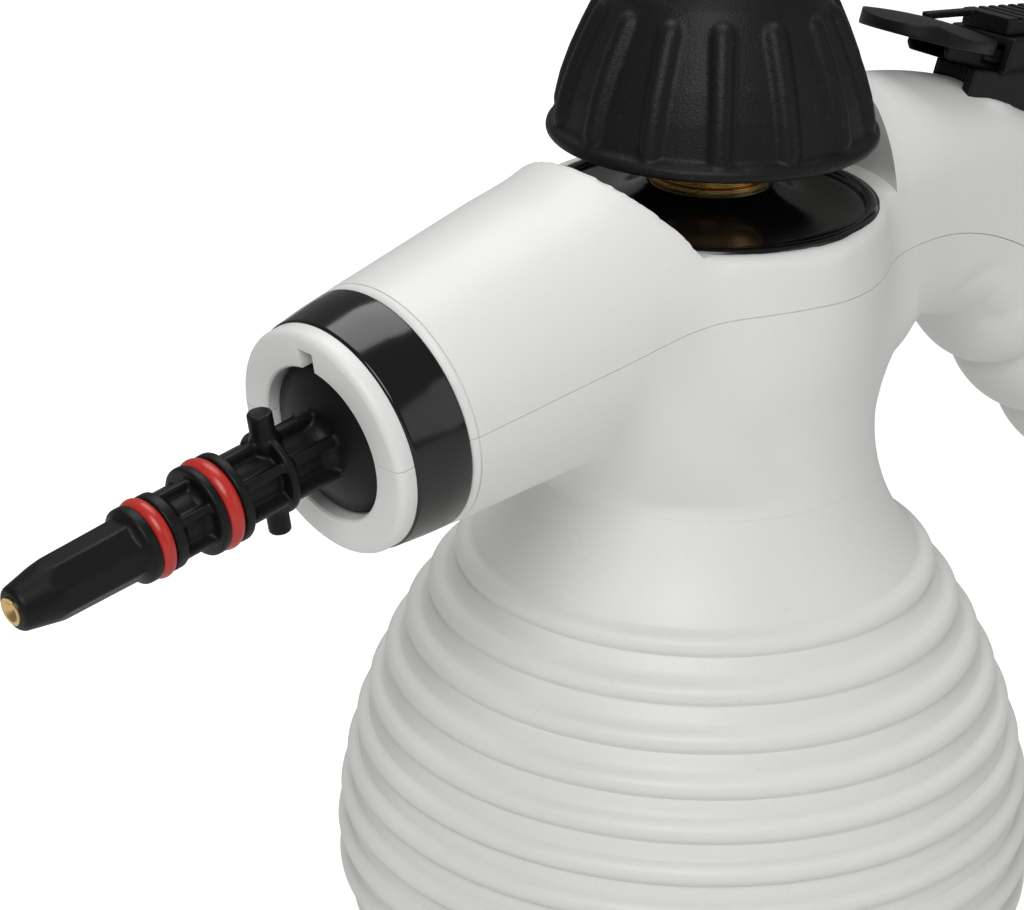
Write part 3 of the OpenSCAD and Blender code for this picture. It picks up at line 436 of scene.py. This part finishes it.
def handle_root(name, off):
    """The handle's root as a sweep of its section, widened and deepened towards the body."""
    let_go()
    axis_z = bend_z + grip_r
    bpy.ops.mesh.primitive_circle_add(vertices=96, radius=(grip_half - off) * MM, fill_type="NGON",
                                      location=((bend_x - root_straight) * MM, 0, axis_z * MM),
                                      rotation=(0, pi / 2, 0))
    piece = bpy.context.object
    piece.name = name
    bpy.ops.object.transform_apply(location=True, rotation=True, scale=True)
    for vertex in piece.data.vertices:
        vertex.co.z += grip_flat * MM * (1 if vertex.co.z > axis_z * MM else -1)
    bpy.ops.object.mode_set(mode="EDIT")
    bpy.ops.mesh.select_all(action="SELECT")
    for step in range(root_straight):
        extrude((MM, 0, 0))
    for step in range(root_steps):
        extrude((0, 0, 0))
        bpy.ops.transform.rotate(value=root_turn, orient_axis="Y",
                                 center_override=(bend_x * MM, 0, bend_z * MM))
    bpy.ops.object.mode_set(mode="OBJECT")
    for vertex in piece.data.vertices:
        x, y, z = vertex.co / MM
        turn, high = along_grip(x, z)
        station = bend_x + grip_r * sin(turn) if turn > 0 else x
        fade = ramp(max(0.45 + 0.079 * (9.5 - high), 0.043 * (20 - high)))
        extra = flare_half(station, root_wall(z), off) - (grip_half - off)
        y += extra * fade * y / (grip_half - off)
        if high < 0:
            gap = under_reach - hypot(x, y)
            z -= under_fillet - sqrt(max(under_fillet ** 2 - gap * gap, 0)) if gap > 0 else 0
            lift = under_lift * ramp(turn, radians(14), radians(8))
            x, z = x + lift * sin(turn), z + lift * cos(turn)
        vertex.co = Vector((x, y, z)) * MM
    alone(piece)
    bpy.ops.object.mode_set(mode="EDIT")
    face_out()
    return piece


def fillet_share(x, y, z):
    """How near a point lies to the root of the nose or of the handle, from 0 to 1."""
    if x < 0:
        wall = hypot(x, y) - body_radius(max(z, 100))
        along = -(x * cos(nose_tilt) + (z - nose_z) * sin(nose_tilt))
        away = sqrt(max(x * x + y * y + (z - nose_z) ** 2 - along ** 2, 0))
        other, reach = away - nose_r - (band_s - along) * tan(nose_taper), nose_blend
    else:
        wall = hypot(x, y) - root_wall(z)
        across = y * grip_half / flare_half(x, root_wall(z), 0)
        other, reach = hypot(across, max(abs(along_grip(x, z)[1]) - grip_flat, 0)) - grip_half, grip_blend
    share = ramp(1.25 - hypot(wall, other) / reach)
    if abs(wall) < 4 and 120 < z < 145 and (x < 0 or abs(y) > 26):
        share = max(share, min(1.0, 1.3 - abs(z - 132.5) / 9))
    if z > 153 and hypot(x, y) < 36:
        share *= ramp(157 - z, 0, 4)
    return share * share * (3 - 2 * share)


# The shells are cast with the widened root and a skirt down the neck into one skin, the underside
# of the handle gets its lobes, and the roots of nose and handle are smoothed into the body.
root = handle_root("handle_root", 0)
cut(root, handle_root("handle_root_hollow", 2.6))
skirt = spun("neck_skirt", [(neck(z), z) for z in (100, 103, 106, 109, 112)]
             + [(31.0, 112), (31.6, 106), (33.2, 100)])
body = copy_of("gun_body", "upper_shell", "lower_shell")
recast(body, 0.8, 0)
for vertex in body.data.vertices:
    x, y, z = vertex.co / MM
    if x > 0 and z < 158.2 and 29 < hypot(x, y) < 36.5:
        inset = draw_in * ramp(x / abs(y) if y else 1.0, 0, 0.5) * ramp(z, *draw_rise)
        vertex.co.x *= 1 - inset / hypot(x, y)
        vertex.co.y *= 1 - inset / hypot(x, y)
join(body, root, skirt)
recast(body, 0.8, 6)
for vertex in body.data.vertices:
    x, y, z = vertex.co / MM
    turn = min(along_grip(x, z)[0], grip_bend)
    if turn > 0:
        away, along = Vector((sin(turn), 0, cos(turn))), Vector((cos(turn), 0, -sin(turn)))
        reach = Vector((x - bend_x, 0, z - bend_z))
        high = reach.dot(away) - grip_r
        ran = reach.dot(along) if turn >= grip_bend else (turn - grip_bend) * lobe_r
        rise = 3.2 * ramp(turn, radians(2), radians(16))
        rise += 1.2 * max(0.0, 1 - abs(turn - radians(24)) / radians(14))
        for crease in lobe_creases:
            rise += lobe_depth * max(0.0, 1 - abs(ran - crease) / 4) ** 2
        vertex.co += (away * rise + along * lobe_shift) * ramp(-high, 6, 14) * MM
roots = body.vertex_groups.new(name="roots")
for vertex in body.data.vertices:
    share = fillet_share(*(vertex.co / MM))
    if share > 0.01:
        roots.add([vertex.index], share, "REPLACE")
apply(body, "SMOOTH", factor=0.5, iterations=400, vertex_group="roots")
body.vertex_groups.clear()

# The well round the cap, the foot of the neck, the mouth of the nose and a fine groove behind the
# band are cut clean, and the white lip is turned by itself with its key notch.
dish_bed, dish_bed_r, well_floor, well_r, mouth_s = 155.95, 30.55, 157.85, 34.45, 83.9
on_nose = Matrix.Translation((0, 0, nose_z * MM)) @ Matrix.Rotation(-pi / 2 - nose_tilt, 4, "Y")
cut(body, spun("well_cutter", [(0, dish_bed), (dish_bed_r, dish_bed), (dish_bed_r, well_floor),
                               (well_r, well_floor), (well_r, 215), (0, 215)], steps=160))
cut(body, spun("foot_cutter", ring(0, 96, 50, 108.43), steps=96))
cut(body, put(spun("mouth_cutter", ring(0, mouth_s, 30, 104), steps=96), on_nose))
cut(body, put(spun("groove_cutter", ring(21.9, 75.5, 23.5, 75.85), steps=160), on_nose))
round_edge = [(19.0 + 1.5 * cos(t), 90.1 + 1.5 * sin(t)) for t in [pi / 2 * k / 6 for k in range(7)]]
lip = spun("nose_lip", [(16.35, 84), (19.15, 84), (19.15, 88.25), (20.55, 88.25)] + round_edge
           + [(14.3, 91.6), (13.9, 91.2), (13.9, 86.1), (16.35, 86.1)], steps=160)
cut(lip, block((14.2, 0, 89), (6.6, 3.6, 12)))
apply(lip, "BEVEL", width=0.25 * MM, segments=2, limit_method="ANGLE", angle_limit=radians(40))
join(body, put(lip, on_nose))

# The seam runs level through the body, down the nose's tilt and round the handle's bend.
seam_gap, seam_rise, grip_rise, seam_soft, beyond = 0.055, 1.4, 0.4, 14, 150


def seam_path(off):
    """The seam from the nozzle to the end of the grip, moved up by off."""
    join_x, level = -(nose_z - bend_z - seam_r) / tan(nose_tilt), bend_z + seam_r + seam_rise
    path = [(-beyond, nose_z + seam_rise - beyond * tan(nose_tilt) + off)]
    for step in range(13):
        share = step / 12
        x = join_x - seam_soft + 2 * seam_soft * share
        path.append((x, level + off - seam_soft * tan(nose_tilt) * (1 - share) ** 2))
    bend = seam_r + grip_rise + off
    for step in range(22):
        turn = radians(2 * step)
        path.append((bend_x + bend * sin(turn), bend_z + bend * cos(turn)))
    path.append((path[-1][0] + 90 * cos(grip_bend), path[-1][1] - 90 * sin(grip_bend)))
    return path


above = slab("above_seam", seam_path(seam_gap) + [(220, 40), (220, 260), (-beyond, 260)], width=200)
below = slab("below_seam", seam_path(-seam_gap) + [(170, -30), (-beyond, -30)], width=200)
let_go()
lower = bpy.data.objects.new("shell_lower_half", body.data.copy())
bpy.context.scene.collection.objects.link(lower)
body.name = "shell_upper_half"
cut(body, above, "INTERSECT")
cut(lower, below, "INTERSECT")
done(body, white_plastic, "housing", ["upper_shell"])
done(lower, white_plastic, "housing", ["lower_shell"])

# ---------- Nose band ----------
# A gloss black band is pressed round the nose behind its white lip. It is a turned moulding with
# softly broken edges.
gloss_black = moulded("gloss_black", (0.004, 0.004, 0.004), (0.006, 0.006, 0.006), gloss=0.1, rough=0.2,
                      cells=400, depth=0.000004, dusty=(0.008, 0.008, 0.008))
band_back_r, band_front_r, band_edge = 22.0, 20.9, 0.55
turns = [pi / 2 * k / 5 for k in range(6)]
rim = [(band_back_r - band_edge * (1 - cos(t)), band_s + band_edge * (1 - sin(t))) for t in reversed(turns)]
front = [(band_front_r - band_edge * (1 - cos(t)), lip_s - band_edge * (1 - sin(t))) for t in turns]
band = spun("nose_collar", [(20.4, band_s)] + rim + [(21.62, 82.0)] + front + [(19.3, lip_s)], steps=160)
done(put(band, on_nose), gloss_black, "housing", ["nose_band"])

# ---------- Dish ----------
# A gloss black dish lies in the deck under the cap. Its rim is rolled, and a collar rises round
# the filler over a hollow fillet.
deck = 157.9
rim = [(29.3 + 1.2 * cos(t), deck - 0.9 + 1.15 * sin(t)) for t in [radians(a) for a in range(0, 181, 20)]]
fillet = [(24.0 - 12.0 * (k / 14) ** 0.8, deck - 0.7 + 3.7 * (k / 14) ** 2.2) for k in range(15)]
shoulder = [(11.5 + 0.3 * cos(t), deck + 3.0 + 0.3 * sin(t)) for t in [radians(a) for a in range(30, 91, 20)]]
dish = spun("cap_dish", [(9.6, deck - 1.9), (30.5, deck - 1.9)] + rim
            + [(27.2, deck - 0.6), (25.5, deck - 0.7)] + fillet + shoulder + [(9.6, deck + 3.3)], steps=160)
done(dish, gloss_black, "housing", ["dish"])

# ---------- Brass filler neck ----------
# The neck is turned from brass bar, with a thin flange on the dish and fine grooves above it.

# Tool marks are the fine rings that a lathe, a drawing die or a grinder leaves on metal, with a
# slow tarnish. One group serves every metal piece.
marks = bpy.data.node_groups.new("tool_marks", "ShaderNodeTree")
for name, way, value in (("Rings", "INPUT", 900.0), ("Height", "OUTPUT", 0.0), ("Tarnish", "OUTPUT", 0.0)):
    socket = marks.interface.new_socket(name=name, in_out=way, socket_type="NodeSocketFloat")
    if way == "INPUT":
        socket.default_value = value
inlet, outlet = marks.nodes.new("NodeGroupInput"), marks.nodes.new("NodeGroupOutput")
place, rings = marks.nodes.new("ShaderNodeTexCoord"), marks.nodes.new("ShaderNodeTexWave")
rings.bands_direction = "Z"
rings.inputs["Distortion"].default_value, rings.inputs["Detail"].default_value = 0.6, 3
tarnish = marks.nodes.new("ShaderNodeTexNoise")
tarnish.inputs["Scale"].default_value, tarnish.inputs["Detail"].default_value = 160, 6
link = marks.links.new
link(place.outputs["Object"], rings.inputs["Vector"])
link(place.outputs["Object"], tarnish.inputs["Vector"])
link(inlet.outputs["Rings"], rings.inputs["Scale"])
link(rings.outputs["Fac"], outlet.inputs["Height"])
link(tarnish.outputs["Fac"], outlet.inputs["Tarnish"])


def metal(name, bright, dull, gloss, rough, rings, depth):
    """A worked metal: bright and tarnished tones, tool marks of a pitch and depth."""
    material = bpy.data.materials.new(name)
    material.use_nodes = True
    nodes, link = material.node_tree.nodes, material.node_tree.links.new
    shader = nodes["Principled BSDF"]
    shader.inputs["Metallic"].default_value = 1
    tool = nodes.new("ShaderNodeGroup")
    tool.node_tree = marks
    tool.inputs["Rings"].default_value = rings
    tone, sheen = nodes.new("ShaderNodeMix"), nodes.new("ShaderNodeMapRange")
    tone.data_type = "RGBA"
    tone.inputs["A"].default_value, tone.inputs["B"].default_value = (*bright, 1), (*dull, 1)
    link(tool.outputs["Tarnish"], tone.inputs["Factor"])
    link(tone.outputs["Result"], shader.inputs["Base Color"])
    sheen.inputs["To Min"].default_value, sheen.inputs["To Max"].default_value = gloss, rough
    link(tool.outputs["Tarnish"], sheen.inputs["Value"])
    link(sheen.outputs["Result"], shader.inputs["Roughness"])
    relief = nodes.new("ShaderNodeBump")
    relief.inputs["Strength"].default_value, relief.inputs["Distance"].default_value = 0.5, depth
    link(tool.outputs["Height"], relief.inputs["Height"])
    link(relief.outputs["Normal"], shader.inputs["Normal"])
    return material


turned_brass = metal("turned_brass", (0.86, 0.62, 0.27), (0.62, 0.42, 0.16), gloss=0.16, rough=0.38,
                     rings=1400, depth=0.00002)
dress(turned_brass, "filler_neck", "cap_plug", "brass_tip", "relief_poppet", "relief_screw", "valve_body")
bore_r, root_r, crest_r, pitch, thread_turns = 9.3, 9.62, 9.95, 0.8, 11
thread = [(bore_r, deck + 3.35), (10.9, deck + 3.35), (11.0, deck + 3.55), (11.0, deck + 4.1)]
thread += [(10.8, deck + 4.3)]
for k in range(thread_turns):
    z = deck + 4.6 + pitch * k
    thread += [(root_r, z - 0.25), (crest_r, z), (crest_r, z + 0.15), (root_r, z + 0.4)]
done(spun("neck_thread", thread + [(bore_r, deck + 13.3)], steps=96), turned_brass, "housing")

# ---------- Cap ----------
# The safety cap is a leathery black moulding with fourteen rounded ribs, screwed into the neck
# by a brass plug and sealed by a red gasket.
leather_black = moulded("leather_black", (0.006, 0.006, 0.0058), (0.004, 0.004, 0.004), gloss=0.4, rough=0.54,
                        cells=2400, depth=0.00014, leather=0.6, dusty=(0.014, 0.014, 0.0135), shine=0.24)
cap_z, cap_wall, panel_sink = 170.8, 4.0, 1.6
rib_count, first_rib, rib_r, rib_x, rib_foot = 14, 47, 2.25, 26.5, 0.6
crests = ((-1, 29.9), (3, 29.2), (7.6, 28.3), (12.6, 26.7), (17.8, 24.55), (24.1, 21.6))


def crest(h):
    """Radius over the cap's ribs at a height above its lip."""
    for (h0, r0), (h1, r1) in zip(crests, crests[1:]):
        if h <= h1:
            break
    return r0 + (r1 - r0) * ((h - h0) / (h1 - h0))


lip_round = [(28.5 + 1.4 * cos(t), cap_z + 1.4 * sin(t)) for t in [radians(a) for a in range(-90, 61, 15)]]
panel = [(crest(h) - panel_sink, cap_z + h) for h in (1.6, 3, 5.5, 8, 10.5, 13, 15.5, 18, 20.5, 22.5, 24)]
crown = ((18.9, 26.0), (17.0, 28.2), (13.5, 30.2), (9, 31.8), (4.5, 32.7), (0, 33))
hollow = [(crest(h) - cap_wall, cap_z + h) for h in (22, 18, 12, 6, 0.5)]
cap = spun("cap_moulding", [(26.0, cap_z - 1.4)] + lip_round + panel + [(r, cap_z + h) for r, h in crown]
           + [(0, cap_z + 22)] + hollow + [(25.4, cap_z - 1.4)])

# A rib starts as the lower half of a ball on the lip, is drawn up the cap's side and ends round.
let_go()
bpy.ops.mesh.primitive_uv_sphere_add(segments=24, ring_count=16, radius=rib_r * MM,
                                     location=(rib_x * MM, 0, (cap_z + rib_foot) * MM))
rib = bpy.context.object
bpy.ops.object.transform_apply(location=True, rotation=True, scale=True)
bpy.ops.object.mode_set(mode="EDIT")
bpy.ops.mesh.select_all(action="DESELECT")
bpy.ops.object.mode_set(mode="OBJECT")
for vertex in rib.data.vertices:
    vertex.select = vertex.co.z > (cap_z + rib_foot + 0.01) * MM
bpy.ops.object.mode_set(mode="EDIT")
bpy.ops.mesh.delete(type="VERT")
bpy.ops.object.mode_set(mode="OBJECT")
for vertex in rib.data.vertices:
    vertex.select = abs(vertex.co.z - (cap_z + rib_foot) * MM) < 1e-6
bpy.ops.object.mode_set(mode="EDIT")
bpy.ops.mesh.select_mode(type="VERT")
here = (rib_x, rib_foot)
for h in (3, 5.5, 8, 10.5, 13, 15.5, 18, 20.5, 22.4):
    there = (crest(h) - rib_r, h)
    extrude(((there[0] - here[0]) * MM, 0, (there[1] - here[1]) * MM))
    here = there
for before, turn in ((0, 30), (30, 55), (55, 78)):
    climb = rib_r * sin(radians(turn)) - rib_r * sin(radians(before))
    extrude((-0.45 * climb * MM, 0, 0.9 * climb * MM))
    shrink = cos(radians(turn)) / cos(radians(before))
    bpy.ops.transform.resize(value=(shrink, shrink, 1))
bpy.ops.mesh.edge_face_add()
face_out()
ribs = []
for k in range(rib_count):
    copy = bpy.data.objects.new("rib", rib.data.copy())
    bpy.context.scene.collection.objects.link(copy)
    ribs.append(put(copy, Matrix.Rotation(radians(first_rib + k * 360 / rib_count), 4, "Z")))
bpy.data.objects.remove(rib)
boss = spun("cap_boss", ring(8.6, 176.2, 12.5, 196), steps=96)
join(cap, boss, *ribs)
recast(cap, 0.46, 4)
done(cap, leather_black, "cap", ["cap_shell"], angle=60)
red_silicone = moulded("red_silicone", (0.52, 0.026, 0.018), (0.44, 0.018, 0.014), gloss=0.22, rough=0.34,
                       cells=1800, depth=0.00001, dusty=(0.50, 0.06, 0.045))
dress(red_silicone, "cap_gasket")

# ---------- Nozzle ----------
# The bayonet nozzle is a satin black moulding with a ribbed stem and two pegs. Two red O-rings
# seal it and a brass insert lines its tip.
dome_s, dome_r, peg_s, seal_a, seal_b, tip_s = 68, 25.2, 102.4, 114.9, 127.8, 154.4


def rounded(r, s, edge, way):
    """The points of a rounded edge at radius r and distance s, outwards or inwards along the nose."""
    turns = [pi / 2 * k / 3 for k in range(4)]
    if way > 0:
        return [(r - edge + edge * cos(t), s - edge + edge * sin(t)) for t in turns]
    return [(r - edge + edge * sin(t), s + edge - edge * cos(t)) for t in turns]


core = [(0, 66), (3.8, 66), (3.8, 82), (16.1, 82), (16.1, 85.4), (13.6, 85.4), (13.6, 88.0)]
core += [(r, dome_s + sqrt(dome_r ** 2 - r * r)) for r in [13.2 - 0.62 * k for k in range(12)]]
core += [(5.6, 92.8), (5.0, 93.6), (4.6, 95.0), (4.6, seal_a - 3.8), (5.2, seal_a - 3.4)]
core += rounded(7.85, seal_a - 3.4, 0.3, -1) + rounded(7.85, seal_a - 1.55, 0.3, 1) + [(4.7, seal_a - 1.55)]
core += [(4.7, seal_a + 1.55)] + rounded(7.8, seal_a + 1.55, 0.3, -1) + rounded(7.8, seal_a + 3.3, 0.4, 1)
core += [(5.6, seal_a + 3.5), (4.8, seal_a + 4.3), (4.8, seal_b - 4.9), (5.3, seal_b - 4.1)]
core += rounded(6.7, seal_b - 3.6, 0.4, -1) + rounded(6.7, seal_b - 1.35, 0.3, 1) + [(4.1, seal_b - 1.35)]
core += [(4.1, seal_b + 1.35)] + rounded(6.6, seal_b + 1.35, 0.3, -1) + rounded(6.6, seal_b + 3.6, 0.6, 1)
core += [(5.3, seal_b + 4.3), (4, seal_b + 4.6), (4, seal_b + 9), (0, seal_b + 9)]
nozzle = spun("nozzle_moulding", core, steps=96)
snout = spun("snout", [(0, seal_b + 2), (5.9, seal_b + 2), (5.9, seal_b + 6), (5.85, tip_s - 10.8),
                       (4.85, tip_s - 5.9), (3.85, tip_s - 1.1), (3.45, tip_s - 0.55), (2.9, tip_s - 0.4),
                       (2.3, tip_s - 0.4), (0, tip_s - 0.4)], steps=96)
let_go()
bpy.ops.mesh.primitive_cone_add(vertices=8, radius1=5.65 * MM, radius2=5.0 * MM, depth=40 * MM,
                                location=(0, 0, (seal_b + 20) * MM), rotation=(0, 0, radians(22.5)))
flats = bpy.context.object
bpy.ops.object.transform_apply(location=True, rotation=True, scale=True)
cut(snout, flats, "INTERSECT")
parts = [nozzle, snout]
for k in range(6):
    for start, end, reach, thick in ((91.0, seal_a - 2.4, 6.75, 1.7), (seal_a + 3, seal_b - 3, 6.5, 1.5)):
        rib = block((reach / 2, 0, (start + end) / 2), (reach, thick, end - start))
        apply(rib, "BEVEL", width=0.25 * MM, segments=2)
        parts.append(put(rib, Matrix.Rotation(radians(60 * k), 4, "Z")))
parts.append(spun("peg_hoop", [(4.0, peg_s - 0.8)] + rounded(7.35, peg_s - 0.8, 0.45, -1)
                  + rounded(7.35, peg_s + 0.8, 0.45, 1) + [(4.0, peg_s + 0.8)], steps=96))
for way, thick in ((1, 2.15), (-1, 1.95)):
    peg = spun("peg", [(0, 3), (thick + 0.5, 3), (thick + 0.5, 6.2), (thick + 0.1, 7.2), (thick, 8)]
               + rounded(thick, 11.3, 0.35, 1) + [(thick - 0.7, 11.3), (thick - 0.7, 11.1), (0, 11.1)],
               steps=48)
    parts.append(put(peg, Matrix.Translation((0, 0, peg_s * MM)) @ Matrix.Rotation(way * pi / 2, 4, "Y")))
join(*parts)
recast(nozzle, 0.285, 2)
cut(nozzle, spun("nozzle_bore", [(0, 60), (1.8, 60), (1.8, tip_s - 5), (2.4, tip_s - 5),
                                 (2.4, tip_s + 5), (0, tip_s + 5)], steps=48))
done(put(nozzle, on_nose), satin_black, "housing", ["nozzle"], angle=60)
dress(red_silicone, "seal_large", "seal_small")

# ---------- Trigger ----------
# A thumb lever on a steel pin, the black housing round it, whose near wall runs on as a cheek
# beside the lever, and a sliding lock with grooves and a slim finger in front.
on_trigger = (Matrix.Translation((bend_x * MM, 0, bend_z * MM)) @ Matrix.Rotation(radians(20), 4, "Y")
              @ Matrix.Translation((0, 0, 112.5 * MM)))
mount = copy_of("trigger_housing", "trigger_mount")
cheek = slab("cheek", [(-9, -5), (-8.7, 2.4), (-2, 3.1), (-2, -5)], width=2.1, offset=-7.45)
join(mount, put(cheek, on_trigger))
recast(mount, 0.28, 5)
far_corner = block((-4, 7.1, 0.3), (9, 6.6, 12))
cut(mount, put(far_corner, on_trigger))
done(mount, satin_black, "housing", ["trigger_mount"], angle=60)
lever = copy_of("thumb_lever", "trigger_lever")
recast(lever, 0.25, 6)
done(lever, satin_black, "trigger", ["trigger_lever"], angle=60)
slider = copy_of("lock_pad", "lock_slider")
recast(slider, 0.2, 4)
finger_x, finger_y, finger_stretch, finger_droop = 0.5, 3, 0.12, 0.04
to_local = on_trigger.inverted()
for vertex in slider.data.vertices:
    local = to_local @ vertex.co
    ahead = finger_x * MM - local.x
    if ahead > 0 and local.y > finger_y * MM:
        local.x -= finger_stretch * ahead
        local.z -= finger_droop * ahead
        vertex.co = on_trigger @ local
done(slider, satin_black, "lock", ["lock_slider"], angle=60)

# ---------- Steam valve, boiler and tubes ----------
# Inside are a cast boiler with its bolted lid, a heater, a thermostat, copper tubes and the valve.
drawn_copper = metal("drawn_copper", (0.85, 0.48, 0.32), (0.55, 0.30, 0.20), gloss=0.2, rough=0.42,
                     rings=300, depth=0.00001)
cast_alloy = metal("cast_alloy", (0.70, 0.70, 0.71), (0.52, 0.52, 0.53), gloss=0.36, rough=0.58,
                   rings=120, depth=0.00003)
ground_steel = metal("ground_steel", (0.66, 0.66, 0.67), (0.48, 0.48, 0.49), gloss=0.18, rough=0.36,
                     rings=1800, depth=0.00001)
pale_hose = moulded("pale_hose", (0.62, 0.60, 0.55), (0.54, 0.52, 0.47), gloss=0.3, rough=0.45,
                    cells=1200, depth=0.00002)
dress(cast_alloy, "boiler_pot", "boiler_lid", "thermostat")
dress(drawn_copper, "steam_tube", "heater")
dress(pale_hose, "outlet_tube")
dress(ground_steel, "trigger_pin", "valve_plunger", "valve_spring", "relief_spring")
dress(rubber_black, "cord_gland")
